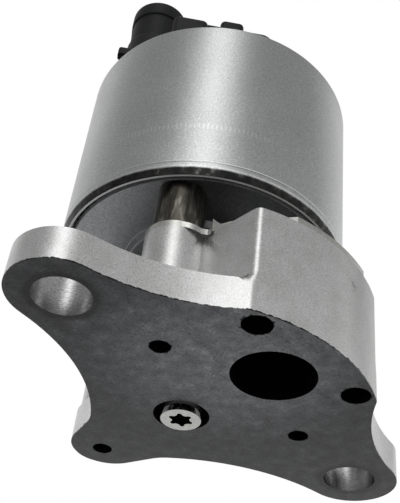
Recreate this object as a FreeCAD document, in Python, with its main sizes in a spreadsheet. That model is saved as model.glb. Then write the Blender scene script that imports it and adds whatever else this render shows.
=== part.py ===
import FreeCAD, Part
import math
import os
import re
import Sketcher
from FreeCAD import Placement, Rotation, Vector

# Solenoid lift EGR valve, in millimetres and degrees.
# The origin is on the mounting face at the pintle axis, Z runs up along that axis,
# X along the line of the two mounting holes, and the outlet port lies towards -Y.

sizes = {
    # base flange
    "flangeThickness": 6.3,
    "boltSpacing": 72.2,
    "boltY": -10.0,
    "boltHoleRadius": 4.93,
    "boltPadRadius": 6.4,
    "boltPadHeight": 2.0,
    "lobeRadius": 8.7,
    "lobeShift": 0.7,
    "lobeFront": -80.0,
    "lobeRear": 85.0,
    "flankRadius": 38.0,
    "flankEnd": 139.2,
    "frontRadius": 35.4,
    "sweepRadius": 39.7,
    "sweepEnd": 218.0,
    "waistRadius": 8.0,
    "waistEnd": 195.2,
    "rearLobeRadius": 7.0,
    "rearLobeShift": 1.5,
    # port tower and its passages
    "towerTop": 21.5,
    "towerShoulderX": 8.0,
    "towerShoulderY": 2.0,
    "housingRadius": 11.5,
    "screwInset": 6.9,
    "screwAngle": 35.8,
    "bossRadius": 5.6,
    "bossHeelRadius": 1.9,
    "bossHeelInset": 0.725,
    "bossHeelFront": 3.7,
    "heelDrop": 0.8,
    "rearRibWidth": 6.0,
    "webFillet": 1.6,
    "inletRadius": 5.1,
    "inletDepth": 3.0,
    "chamberRadius": 7.2,
    "portRadius": 7.43,
    "portY": -21.9,
    "portDepth": 15.0,
    "passageWidth": 9.0,
    "passageFloor": 7.5,
    "passageRoof": 14.0,
    "screwHoleRadius": 1.85,
    "castHoleRadius": 2.6,
    "castHoleX": 12.6,
    "castHoleY": -29.4,
    "castHoleDepth": 9.0,
    # seat, pintle and shaft
    "seatHeight": 3.4,
    "seatBoreRadius": 4.5,
    "seatChamfer": 1.0,
    "seatGap": 0.45,
    "pintleTip": 0.1,
    "noseRadius": 3.76,
    "noseTaper": 0.7,
    "noseTaperHeight": 1.1,
    "headRadius": 6.0,
    "headRim": 1.2,
    "headBackRadius": 3.4,
    "headBack": 1.6,
    "socketJoin": 1.74,
    "socketJoinAngle": 11.7,
    "socketLobeRadius": 0.36,
    "socketWaistRadius": 0.74,
    "socketDepth": 2.2,
    "shaftRadius": 2.5,
    "shaftInPintle": 3.0,
    "fitClearance": 0.04,
    "lift": 4.0,
    # bushing, shield, seal
    "bushingLength": 7.0,
    "shieldThickness": 1.2,
    "shieldHoleRadius": 4.2,
    "shieldInset": 0.4,
    "shieldFrontX": 9.2,
    "shieldShoulderX": 15.4,
    "shieldShoulderY": -24.0,
    "shieldNeckX": 16.8,
    "shieldNeckY": -18.9,
    "shieldSideRadius": 57.0,
    "shieldSideStart": 60.0,
    "shieldSideEnd": 20.0,
    "shieldEarWidth": 1.8,
    "shieldEarHeight": 1.5,
    "sealRadius": 5.5,
    "sealHeight": 2.8,
    "sealSpringRadius": 4.2,
    "sealSpringWire": 0.4,
    "sealSpringTurns": 4.0,
    "sealRecessRadius": 6.0,
    "sealRecessDepth": 2.0,
    # spacers and screws
    "spacerRadius": 4.66,
    "spacerBoreRadius": 2.35,
    "spacerLength": 10.7,
    "spacerEdge": 0.5,
    "screwBottom": 3.5,
    "screwHeadRadius": 3.4,
    "screwHeadHeight": 2.6,
    "screwSocketAcross": 3.0,
    "screwSocketDepth": 1.5,
    "counterboreRadius": 3.7,
    "counterboreDepth": 3.0,
    # solenoid can and poles
    "canRadius": 28.5,
    "canWall": 1.2,
    "canTop": 75.4,
    "canCorner": 0.8,
    "canLipWidth": 3.0,
    "rimDrop": 0.3,
    "rimHeight": 2.9,
    "rimInset": 0.75,
    "rimGroove": 0.15,
    "plateThickness": 4.6,
    "plateStep": 0.55,
    "plateStepHeight": 1.8,
    "plateChamfer": 0.5,
    "plateBossInset": 6.0,
    "plateBossDrop": 1.4,
    "plateBossTaper": 0.75,
    "hubRadius": 10.6,
    "hubHeight": 7.4,
    "sleeveInnerRadius": 7.6,
    "sleeveWall": 0.6,
    "sleeveHeight": 22.0,
    "armatureRadius": 7.54,
    "armatureFoot": 0.9,
    "armatureLength": 15.6,
    "springPocketRadius": 5.0,
    "springPocketDepth": 8.0,
    "ventRadius": 0.9,
    "stopGap": 0.4,
    "poleStub": 5.2,
    "poleBoreRadius": 3.0,
    "springWire": 0.45,
    "springRadius": 4.1,
    "springTurns": 7.0,
    "washerThickness": 3.0,
    "coilGap": 0.1,
    "bobbinWall": 1.2,
    "bobbinGap": 1.8,
    "windingInset": 1.2,
    # sensor cap, in a frame turned about the axis
    "capAngle": 52.0,
    "capFlangeThickness": 3.0,
    "capClearance": 0.1,
    "capNeckClearance": 0.3,
    "deckTop": 79.8,
    "deckRoof": 77.8,
    "capWall": 3.7,
    "housingFrontInset": 7.0,
    "housingBackInset": 7.5,
    "housingLeftInset": 11.5,
    "housingRightInset": 16.5,
    "housingTop": 88.0,
    "housingWall": 2.0,
    "housingRoof": 86.0,
    "housingCorner": 3.0,
    "ribDepth": 2.3,
    "broadRibInner": 7.1,
    "broadRibTop": 86.9,
    "narrowRibLeft": 3.1,
    "narrowRibRight": 1.1,
    "narrowRibTop": 87.9,
    "shroudInset": 8.0,
    "shroudNeckWidth": 10.8,
    "shroudNeckLength": 25.0,
    "shroudTop": 100.3,
    "shroudWall": 1.5,
    "shroudFloor": 84.0,
    "collarWidth": 12.5,
    "collarLength": 26.7,
    "collarHeight": 3.8,
    "footWidth": 12.0,
    "footLength": 26.2,
    "footTop": 89.0,
    "tabFront": 12.6,
    "tabBack": 10.4,
    "tabInset": 0.4,
    "tabBottom": 80.4,
    "tabTop": 82.6,
    "capEdge": 0.5,
    "sealRingWire": 0.8,
    "sensorBaseThickness": 1.5,
    "guideRadius": 3.6,
    "guideHeight": 2.2,
    "plungerRadius": 2.0,
    "plungerBottom": 66.0,
    "carrierBottom": 76.0,
    "carrierHeight": 3.0,
    "carrierSide": 6.0,
    "carrierPinRadius": 1.2,
    "carrierPinHeight": 1.5,
    "plungerSpringWire": 0.2,
    "plungerSpringRadius": 1.9,
    "plungerSpringTurns": 5.0,
    "boardFace": 6.4,
    "boardThickness": 0.8,
    "boardWidth": 11.0,
    "wiperGap": 0.3,
    "wiperWidth": 2.4,
    "wiperThickness": 0.3,
    "terminalPitch": 4.2,
    "terminalWidth": 1.5,
    "terminalThickness": 0.8,
    "terminalTop": 94.0,
    "terminalFoot": 75.0,
    "coilTabTop": 76.5,
    "coilTabGap": 0.5,
}

# Places that follow from the sizes.
places = {
    "screwCircleRadius": "canRadius - screwInset",
    "rearLobeY": "screwCircleRadius - rearLobeShift",
    "lobeX": "boltSpacing / 2 + lobeShift",
    "flankX": "lobeX + (lobeRadius + flankRadius) * cos(lobeFront)",
    "flankY": "boltY + (lobeRadius + flankRadius) * sin(lobeFront)",
    "cornerX": "flankX + flankRadius * cos(flankEnd)",
    "cornerY": "flankY + flankRadius * sin(flankEnd)",
    "lobeFrontX": "lobeX + lobeRadius * cos(lobeFront)",
    "lobeFrontY": "boltY + lobeRadius * sin(lobeFront)",
    "lobeRearX": "lobeX + lobeRadius * cos(lobeRear)",
    "lobeRearY": "boltY + lobeRadius * sin(lobeRear)",
    "sweepX": "lobeX + (lobeRadius + sweepRadius) * cos(lobeRear)",
    "sweepY": "boltY + (lobeRadius + sweepRadius) * sin(lobeRear)",
    "sweepEndX": "sweepX + sweepRadius * cos(sweepEnd)",
    "sweepEndY": "sweepY + sweepRadius * sin(sweepEnd)",
    "waistX": "sweepX + (sweepRadius - waistRadius) * cos(sweepEnd) + waistRadius * cos(waistEnd)",
    "waistY": "sweepY + (sweepRadius - waistRadius) * sin(sweepEnd) + waistRadius * sin(waistEnd)",
    "rearLobeX": "-rearLobeRadius * cos(waistEnd)",
    "rearLobeEndY": "rearLobeY - rearLobeRadius * sin(waistEnd)",
    "screwX": "screwCircleRadius * cos(screwAngle)",
    "screwY": "-screwCircleRadius * sin(screwAngle)",
    "seatTop": "inletDepth + seatHeight",
    "headBottom": "seatTop - seatChamfer + seatGap",
    "headStart": "headBottom + headRadius - seatBoreRadius",
    "headTop": "headStart + headRim + headBack",
    "shieldTop": "towerTop + shieldThickness",
    "shieldFrontRadius": "frontRadius - shieldInset",
    "shieldSideX": "screwX + bossRadius * cos(shieldSideStart)",
    "shieldSideY": "screwY + bossRadius * sin(shieldSideStart)",
    "shieldRearY": "screwCircleRadius - bossRadius * sin(shieldSideEnd)",
    "solenoidBase": "shieldTop + spacerLength",
    "canBottom": "solenoidBase - rimDrop",
    "canInner": "canRadius - canWall",
    "canLipRadius": "canRadius - canLipWidth",
    "plateBossRadius": "screwCircleRadius - plateBossInset",
    "bobbinFlangeRadius": "canInner - bobbinGap",
    "windingRadius": "bobbinFlangeRadius - windingInset",
    "capCavityRadius": "canLipRadius - capNeckClearance - capWall",
    "housingFront": "canLipRadius - housingFrontInset",
    "housingBack": "canLipRadius - housingBackInset",
    "housingLeft": "canLipRadius - housingLeftInset",
    "housingRight": "canLipRadius - housingRightInset",
    "tabReach": "sqrt((canRadius - tabInset)^2 - tabFront^2)",
    "shroudSide": "canLipRadius - shroudInset",
    "plateTop": "solenoidBase + plateThickness",
    "plateBossBottom": "solenoidBase - plateBossDrop",
    "capBase": "canTop - canWall - capFlangeThickness",
    "washerBottom": "capBase - washerThickness",
    "sleeveTop": "plateTop + sleeveHeight",
    "sleeveOuter": "sleeveInnerRadius + sleeveWall",
    "armatureBottom": "plateTop + armatureFoot",
    "armatureTop": "armatureBottom + armatureLength",
    "poleBottom": "armatureTop + lift + stopGap",
    "springBottom": "armatureTop - springPocketDepth",
    "springTop": "poleBottom + poleStub",
    "bobbinBore": "hubRadius + coilGap",
    "bobbinBottom": "plateTop + coilGap",
    "bobbinTop": "washerBottom - coilGap",
    "shroudEnd": "(shroudNeckLength - shroudNeckWidth) / 2",
    "sealRingHeight": "capBase + capFlangeThickness / 2",
    "sensorBaseTop": "capBase + sensorBaseThickness",
    "carrierTop": "carrierBottom + carrierHeight",
}

doc = FreeCAD.newDocument("egr_valve")
sheet = doc.addObject("Spreadsheet::Sheet", "Sizes")
for row, (alias, size) in enumerate(sizes.items(), start=1):
    sheet.set("A%d" % row, str(size))
    sheet.setAlias("A%d" % row, alias)
doc.recompute()

subparts = []


def bound(expression):
    # places become their expressions and sizes become cells of the sheet
    def replace(word):
        name = word.group()
        if name in places:
            return "(" + bound(places[name]) + ")"
        return "Sizes." + name if name in sizes else name
    return re.sub(r"[A-Za-z]\w*", replace, expression)


def number(expression):
    return float(sheet.evalExpression(bound(expression)))


def newBody(label, turn="0", x="0", y="0"):
    body = doc.addObject("PartDesign::Body", label)
    body.Label = label
    body.Placement = Placement(Vector(0, 0, 0), Rotation(Vector(0, 0, 1), 1))
    body.setExpression("Placement.Rotation.Angle", bound(turn))
    body.setExpression("Placement.Base.x", bound(x))
    body.setExpression("Placement.Base.y", bound(y))
    subparts.append(body)
    return body


def newSketch(body, plane="XY_Plane", offset="0"):
    sketch = body.newObject("Sketcher::SketchObject", body.Label + "_sketch")
    support = [part for part in body.Origin.OriginFeatures if part.Role == plane][0]
    sketch.AttachmentSupport = [(support, "")]
    sketch.MapMode = "FlatFace"
    sketch.setExpression("AttachmentOffset.Base.z", bound(offset))
    return sketch


def pin(sketch, geometry, point, across, along):
    # ties a point of the sketch to its two distances from the origin
    for kind, expression in (("DistanceX", across), ("DistanceY", along)):
        index = sketch.addConstraint(
            Sketcher.Constraint(kind, -1, 1, geometry, point, number(expression)))
        sketch.setExpression("Constraints[%d]" % index, bound(expression))


def circle(sketch, across, along, radius):
    centre = Vector(number(across), number(along), 0)
    index = sketch.addGeometry(Part.Circle(centre, Vector(0, 0, 1), number(radius)))
    pin(sketch, index, 3, across, along)
    tie = sketch.addConstraint(Sketcher.Constraint("Radius", index, number(radius)))
    sketch.setExpression("Constraints[%d]" % tie, bound(radius))


def outline(sketch, stops):
    # A closed loop through the stops (x, y) or (x, y, radius, side).  A radius makes the stretch to the
    # next stop an arc, with its centre on the left (side 1) or right (side -1) of the way there.
    corners = [Vector(number(stop[0]), number(stop[1]), 0) for stop in stops]
    ends = []
    for place, stop in enumerate(stops):
        here = corners[place]
        there = corners[(place + 1) % len(stops)]
        if len(stop) == 2:
            index = sketch.addGeometry(Part.LineSegment(here, there))
            ends.append((index, 1, 2))
        else:
            radius = number(stop[2])
            way = there - here
            left = Vector(-way.y, way.x, 0).normalize()
            rise = math.sqrt(max(radius ** 2 - way.Length ** 2 / 4, 0))
            centre = (here + there) / 2 + left * rise * stop[3]
            first, last = (here, there) if stop[3] > 0 else (there, here)
            start = math.atan2(first.y - centre.y, first.x - centre.x)
            finish = math.atan2(last.y - centre.y, last.x - centre.x)
            round_ = Part.Circle(centre, Vector(0, 0, 1), radius)
            index = sketch.addGeometry(Part.ArcOfCircle(round_, start, finish))
            tie = sketch.addConstraint(Sketcher.Constraint("Radius", index, radius))
            sketch.setExpression("Constraints[%d]" % tie, bound(stop[2]))
            ends.append((index, 1, 2) if stop[3] > 0 else (index, 2, 1))
    for place, stop in enumerate(stops):
        geometry, start, finish = ends[place]
        following = ends[(place + 1) % len(stops)]
        sketch.addConstraint(
            Sketcher.Constraint("Coincident", geometry, finish, following[0], following[1]))
        pin(sketch, geometry, start, stop[0], stop[1])


def rectangle(sketch, left, right, bottom, top):
    outline(sketch, [(left, bottom), (right, bottom), (right, top), (left, top)])


def stadium(sketch, length, width, side="0"):
    # straight sides along the sketch's X, round ends, centred on the line at the given side
    end = "(%s - %s) / 2" % (length, width)
    low = "%s - %s / 2" % (side, width)
    high = "%s + %s / 2" % (side, width)
    round_ = width + " / 2"
    outline(sketch, [
        ("-" + end, low), (end, low, round_, 1), (end + " + " + round_, side, round_, 1), (end, high),
        ("-" + end, high, round_, 1), ("-" + end + " - " + round_, side, round_, 1)])


def addFeature(body, kind, sketch, expressions, **settings):
    feature = body.newObject("PartDesign::" + kind, body.Label + "_" + kind.lower())
    feature.Profile = sketch
    for name, setting in settings.items():
        setattr(feature, name, setting)
    for name, expression in expressions.items():
        feature.setExpression(name, bound(expression))
    sketch.Visibility = False
    return feature


def pad(body, sketch, length):
    return addFeature(body, "Pad", sketch, {"Length": length})


def pocketUp(body, sketch, length):
    return addFeature(body, "Pocket", sketch, {"Length": length}, Reversed=True)


def pocketDown(body, sketch, length):
    return addFeature(body, "Pocket", sketch, {"Length": length})


def turned(body, stops):
    # a solid of revolution about Z from a profile of (radius, height) stops
    sketch = newSketch(body, "XZ_Plane")
    outline(sketch, stops)
    return addFeature(body, "Revolution", sketch, {}, ReferenceAxis=(sketch, ["V_Axis"]), Angle=360.0)


def ring(body, inner, outer, bottom, top):
    return turned(body, [(inner, bottom), (outer, bottom), (outer, top), (inner, top)])


def coil(body, radius, wire, bottom, top, turns):
    # round wire wound about Z between two flat seats
    sketch = newSketch(body, "XZ_Plane")
    circle(sketch, radius, "%s + %s" % (bottom, wire), wire)
    return addFeature(
        body, "AdditiveHelix", sketch,
        {"Height": "%s - %s - 2 * %s" % (top, bottom, wire), "Turns": turns},
        ReferenceAxis=(sketch, ["V_Axis"]), Mode="height-turns-angle", Angle=0.0)


def roundEdges(body, radius, wanted):
    # fillets every edge of the body so far whose middle satisfies the test
    doc.recompute()
    base = body.Tip
    names = []
    for place, edge in enumerate(base.Shape.Edges, start=1):
        middle = edge.valueAt((edge.FirstParameter + edge.LastParameter) / 2)
        if wanted(edge, middle):
            names.append("Edge%d" % place)
    fillet = body.newObject("PartDesign::Fillet", body.Label + "_fillet")
    fillet.Base = (base, names)
    fillet.setExpression("Radius", bound(radius))
    return fillet


def buildBaseCasting():
    body = newBody("base_casting")
    flange = newSketch(body)
    right = [
        ("cornerX", "cornerY", "flankRadius", -1), ("lobeFrontX", "lobeFrontY", "lobeRadius", 1),
        ("lobeRearX", "lobeRearY", "sweepRadius", -1), ("sweepEndX", "sweepEndY", "waistRadius", -1),
        ("waistX", "waistY"), ("rearLobeX", "rearLobeEndY", "rearLobeRadius", 1)]
    left = [
        ("0", "rearLobeY + rearLobeRadius", "rearLobeRadius", 1), ("-rearLobeX", "rearLobeEndY"),
        ("-waistX", "waistY", "waistRadius", -1), ("-sweepEndX", "sweepEndY", "sweepRadius", -1),
        ("-lobeRearX", "lobeRearY", "lobeRadius", 1), ("-lobeFrontX", "lobeFrontY", "flankRadius", -1),
        ("-cornerX", "cornerY", "frontRadius", 1)]
    outline(flange, right + left)
    pad(body, flange, "flangeThickness")
    tower = newSketch(body)
    outline(tower, [
        ("-cornerX", "cornerY", "frontRadius", 1), ("cornerX", "cornerY"), ("cornerX", "screwY"),
        ("towerShoulderX", "towerShoulderY"), ("-towerShoulderX", "towerShoulderY"), ("-cornerX", "screwY")])
    pad(body, tower, "towerTop")
    housing = newSketch(body)
    circle(housing, "0", "0", "housingRadius")
    pad(body, housing, "towerTop")
    rib = newSketch(body)
    rectangle(rib, "-rearRibWidth / 2", "rearRibWidth / 2", "0", "screwCircleRadius")
    pad(body, rib, "towerTop")
    for x, y in (("-screwX", "screwY"), ("screwX", "screwY"), ("0", "screwCircleRadius")):
        boss = newSketch(body)
        circle(boss, x, y, "bossRadius")
        pad(body, boss, "towerTop")
    for side in ("-", ""):
        heel = newSketch(body)
        circle(heel, "%s(cornerX - bossHeelInset)" % side, "screwY - bossHeelFront", "bossHeelRadius")
        pad(body, heel, "towerTop - heelDrop")
        seat = newSketch(body)
        circle(seat, "%sboltSpacing / 2" % side, "boltY", "boltPadRadius")
        pad(body, seat, "flangeThickness + boltPadHeight")
    corner_x = number("cornerX")
    corner_y = number("cornerY")
    flange_top = number("flangeThickness")
    # one radius runs down each front corner and along the foot of the web behind it
    roundEdges(body, "webFillet", lambda edge, middle: abs(abs(middle.x) - corner_x) < 0.01 and (
        abs(middle.y - corner_y) < 0.01 or (abs(middle.z - flange_top) < 0.01 and edge.Length > 2)))
    inlet = newSketch(body)
    circle(inlet, "0", "0", "inletRadius")
    pocketUp(body, inlet, "inletDepth")
    chamber = newSketch(body, offset="inletDepth")
    circle(chamber, "0", "0", "chamberRadius")
    pocketUp(body, chamber, "towerTop - inletDepth")
    port = newSketch(body)
    circle(port, "0", "portY", "portRadius")
    pocketUp(body, port, "portDepth")
    passage = newSketch(body, offset="passageFloor")
    rectangle(passage, "-passageWidth / 2", "passageWidth / 2", "portY", "0")
    pocketUp(body, passage, "passageRoof - passageFloor")
    for x, y, radius, depth in (
            ("boltSpacing / 2", "boltY", "boltHoleRadius", "flangeThickness + boltPadHeight"),
            ("-boltSpacing / 2", "boltY", "boltHoleRadius", "flangeThickness + boltPadHeight"),
            ("screwX", "screwY", "screwHoleRadius", "towerTop"),
            ("-screwX", "screwY", "screwHoleRadius", "towerTop"),
            ("0", "screwCircleRadius", "screwHoleRadius", "towerTop"),
            ("castHoleX", "castHoleY", "castHoleRadius", "castHoleDepth"),
            ("-castHoleX", "castHoleY", "castHoleRadius", "castHoleDepth")):
        hole = newSketch(body)
        circle(hole, x, y, radius)
        pocketUp(body, hole, depth)


def buildValveSeat():
    body = newBody("valve_seat")
    turned(body, [
        ("seatBoreRadius", "inletDepth"), ("chamberRadius", "inletDepth"), ("chamberRadius", "seatTop"),
        ("seatBoreRadius + seatChamfer", "seatTop"), ("seatBoreRadius", "seatTop - seatChamfer")])


def buildShaftBushing():
    body = newBody("shaft_bushing")
    ring(body, "shaftRadius + fitClearance", "chamberRadius", "towerTop - bushingLength", "towerTop")


def buildGasShield():
    body = newBody("gas_shield_plate")
    plate = newSketch(body, offset="towerTop")
    outline(plate, [
        ("-shieldFrontX", "-sqrt(shieldFrontRadius^2 - shieldFrontX^2)", "shieldFrontRadius", 1),
        ("shieldFrontX", "-sqrt(shieldFrontRadius^2 - shieldFrontX^2)"),
        ("shieldShoulderX", "shieldShoulderY"), ("shieldNeckX", "shieldNeckY"),
        ("screwX", "screwY - bossRadius", "bossRadius", 1),
        ("shieldSideX", "shieldSideY", "shieldSideRadius", -1),
        ("bossRadius * cos(shieldSideEnd)", "shieldRearY", "bossRadius", 1),
        ("0", "screwCircleRadius + bossRadius", "bossRadius", 1),
        ("-bossRadius * cos(shieldSideEnd)", "shieldRearY", "shieldSideRadius", -1),
        ("-shieldSideX", "shieldSideY", "bossRadius", 1),
        ("-screwX", "screwY - bossRadius"),
        ("-shieldNeckX", "shieldNeckY"), ("-shieldShoulderX", "shieldShoulderY")])
    pad(body, plate, "shieldThickness")
    for side in ("-", ""):
        ear = newSketch(body, offset="towerTop")
        corner = ["%s(%s)" % (side, x) for x in (
            "shieldNeckX - shieldEarWidth", "shieldNeckX - 0.1 * shieldEarWidth")]
        low, high = sorted(corner, key=number)
        rectangle(ear, low, high, "shieldNeckY - 1.5 * shieldThickness", "shieldNeckY - 0.5 * shieldThickness")
        pad(body, ear, "shieldThickness + shieldEarHeight")
    for x, y, radius in (
            ("0", "0", "shieldHoleRadius"), ("screwX", "screwY", "spacerBoreRadius"),
            ("-screwX", "screwY", "spacerBoreRadius"), ("0", "screwCircleRadius", "spacerBoreRadius")):
        hole = newSketch(body, offset="shieldTop + shieldEarHeight")
        circle(hole, x, y, radius)
        pocketDown(body, hole, "shieldThickness + shieldEarHeight")


def buildShaftSeal():
    body = newBody("shaft_seal")
    ring(body, "shaftRadius + fitClearance", "sealRadius", "shieldTop", "shieldTop + sealHeight")


def buildSealSpring():
    body = newBody("seal_spring")
    coil(body, "sealSpringRadius", "sealSpringWire", "(shieldTop + sealHeight)",
         "(plateBossBottom + sealRecessDepth)", "sealSpringTurns")


def buildPintle():
    body = newBody("pintle")
    turned(body, [
        ("0", "pintleTip"), ("noseRadius - noseTaper", "pintleTip"), ("noseRadius", "pintleTip + noseTaperHeight"),
        ("noseRadius", "headBottom"), ("seatBoreRadius", "headBottom"), ("headRadius", "headStart"),
        ("headRadius", "headStart + headRim"), ("headBackRadius", "headTop"), ("shaftRadius", "headTop"),
        ("shaftRadius", "headTop - shaftInPintle"), ("0", "headTop - shaftInPintle")])
    socket = newSketch(body, offset="pintleTip")
    stops = []
    for lobe in range(6):
        turn = 60 * lobe
        for angle, radius, side in (
                ("%d - socketJoinAngle" % turn, "socketLobeRadius", 1),
                ("%d + socketJoinAngle" % turn, "socketWaistRadius", -1)):
            stops.append((
                "socketJoin * cos(%s)" % angle, "socketJoin * sin(%s)" % angle, radius, side))
    outline(socket, stops)
    pocketUp(body, socket, "socketDepth")


def buildPintleShaft():
    body = newBody("pintle_shaft")
    turned(body, [
        ("0", "headTop - shaftInPintle"), ("shaftRadius", "headTop - shaftInPintle"),
        ("shaftRadius", "springBottom"), ("plungerRadius", "springBottom"),
        ("plungerRadius", "plungerBottom"), ("0", "plungerBottom")])


def buildSpacer(label, x, y):
    body = newBody(label, x=x, y=y)
    turned(body, [
        ("spacerBoreRadius", "shieldTop"), ("spacerRadius - spacerEdge", "shieldTop"),
        ("spacerRadius", "shieldTop + spacerEdge"), ("spacerRadius", "solenoidBase - spacerEdge"),
        ("spacerRadius - spacerEdge", "solenoidBase"), ("spacerBoreRadius", "solenoidBase")])


def buildScrew(label, x, y):
    body = newBody(label, x=x, y=y)
    seat = "plateTop - counterboreDepth"
    turned(body, [
        ("0", "screwBottom"), ("screwHoleRadius", "screwBottom"), ("screwHoleRadius", seat),
        ("screwHeadRadius", seat), ("screwHeadRadius", seat + " + screwHeadHeight"),
        ("0", seat + " + screwHeadHeight")])
    drive = newSketch(body, offset=seat + " + screwHeadHeight")
    reach = "screwSocketAcross / 2 / cos(30)"
    outline(drive, [("%s * cos(%d)" % (reach, turn), "%s * sin(%d)" % (reach, turn))
                    for turn in range(0, 360, 60)])
    pocketDown(body, drive, "screwSocketDepth")


def buildLowerPolePlate():
    body = newBody("lower_pole_plate")
    turned(body, [
        ("poleBoreRadius", "plateBossBottom + sealRecessDepth"),
        ("sealRecessRadius", "plateBossBottom + sealRecessDepth"), ("sealRecessRadius", "plateBossBottom"),
        ("plateBossRadius - plateBossTaper", "plateBossBottom"), ("plateBossRadius", "solenoidBase"),
        ("canInner - plateStep - plateChamfer", "solenoidBase"),
        ("canInner - plateStep", "solenoidBase + plateChamfer"),
        ("canInner - plateStep", "solenoidBase + plateStepHeight"),
        ("canInner", "solenoidBase + plateStepHeight"), ("canInner", "plateTop"), ("hubRadius", "plateTop"),
        ("hubRadius", "plateTop + hubHeight"), ("sleeveOuter", "plateTop + hubHeight"),
        ("sleeveOuter", "plateTop"), ("poleBoreRadius", "plateTop")])
    for x, y in (("-screwX", "screwY"), ("screwX", "screwY"), ("0", "screwCircleRadius")):
        seat = newSketch(body, offset="plateTop")
        circle(seat, x, y, "counterboreRadius")
        pocketDown(body, seat, "counterboreDepth")
        hole = newSketch(body, offset="plateTop")
        circle(hole, x, y, "spacerBoreRadius")
        pocketDown(body, hole, "plateThickness")


def buildSolenoidCan():
    body = newBody("solenoid_can")
    turned(body, [
        ("canInner", "canBottom"), ("canRadius - rimInset", "canBottom", "rimHeight", 1),
        ("canRadius", "canBottom + 0.62 * rimHeight"), ("canRadius", "canBottom + rimHeight"),
        ("canRadius - rimGroove", "canBottom + rimHeight"),
        ("canRadius - rimGroove", "canBottom + rimHeight + rimGroove"),
        ("canRadius", "canBottom + rimHeight + rimGroove"), ("canRadius", "canTop - canCorner", "canCorner", 1),
        ("canRadius - canCorner", "canTop"), ("canLipRadius", "canTop"), ("canLipRadius", "canTop - canWall"),
        ("canInner", "canTop - canWall")])


def buildArmatureSleeve():
    body = newBody("armature_sleeve")
    ring(body, "sleeveInnerRadius", "sleeveOuter", "plateTop", "sleeveTop")


def buildArmature():
    body = newBody("armature")
    turned(body, [
        ("shaftRadius", "armatureBottom"), ("armatureRadius", "armatureBottom"),
        ("armatureRadius", "armatureTop"), ("springPocketRadius", "armatureTop"),
        ("springPocketRadius", "springBottom"), ("shaftRadius", "springBottom")])
    for side in ("-", ""):
        vent = newSketch(body, offset="armatureBottom")
        circle(vent, "%sarmatureRadius" % side, "0", "ventRadius")
        pocketUp(body, vent, "armatureLength")


def buildUpperPole():
    body = newBody("upper_pole")
    turned(body, [
        ("springPocketRadius", "poleBottom"), ("sleeveInnerRadius", "poleBottom"),
        ("sleeveInnerRadius", "sleeveTop"), ("hubRadius", "sleeveTop"), ("hubRadius", "capBase"),
        ("poleBoreRadius", "capBase"), ("poleBoreRadius", "springTop"), ("springPocketRadius", "springTop")])


def buildReturnSpring():
    body = newBody("return_spring")
    coil(body, "springRadius", "springWire", "springBottom", "springTop", "springTurns")


def buildFluxWasher():
    body = newBody("upper_flux_washer", turn="capAngle")
    ring(body, "hubRadius", "canInner", "washerBottom", "capBase")
    for x in ("-2 * terminalPitch", "2 * terminalPitch"):
        slot = newSketch(body, offset="capBase")
        reach = "(terminalWidth / 2 + coilTabGap)"
        rise = "(terminalThickness / 2 + coilTabGap)"
        rectangle(slot, x + " - " + reach, x + " + " + reach, "shroudSide - " + rise, "shroudSide + " + rise)
        pocketDown(body, slot, "washerThickness")


def buildCoilBobbin():
    body = newBody("coil_bobbin")
    turned(body, [
        ("bobbinBore", "bobbinBottom"), ("bobbinFlangeRadius", "bobbinBottom"),
        ("bobbinFlangeRadius", "bobbinBottom + bobbinWall"),
        ("bobbinBore + bobbinWall", "bobbinBottom + bobbinWall"),
        ("bobbinBore + bobbinWall", "bobbinTop - bobbinWall"),
        ("bobbinFlangeRadius", "bobbinTop - bobbinWall"), ("bobbinFlangeRadius", "bobbinTop"),
        ("bobbinBore", "bobbinTop")])


def buildCoilWinding():
    body = newBody("coil_winding")
    ring(body, "bobbinBore + bobbinWall", "windingRadius", "bobbinBottom + bobbinWall",
         "bobbinTop - bobbinWall")


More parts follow.
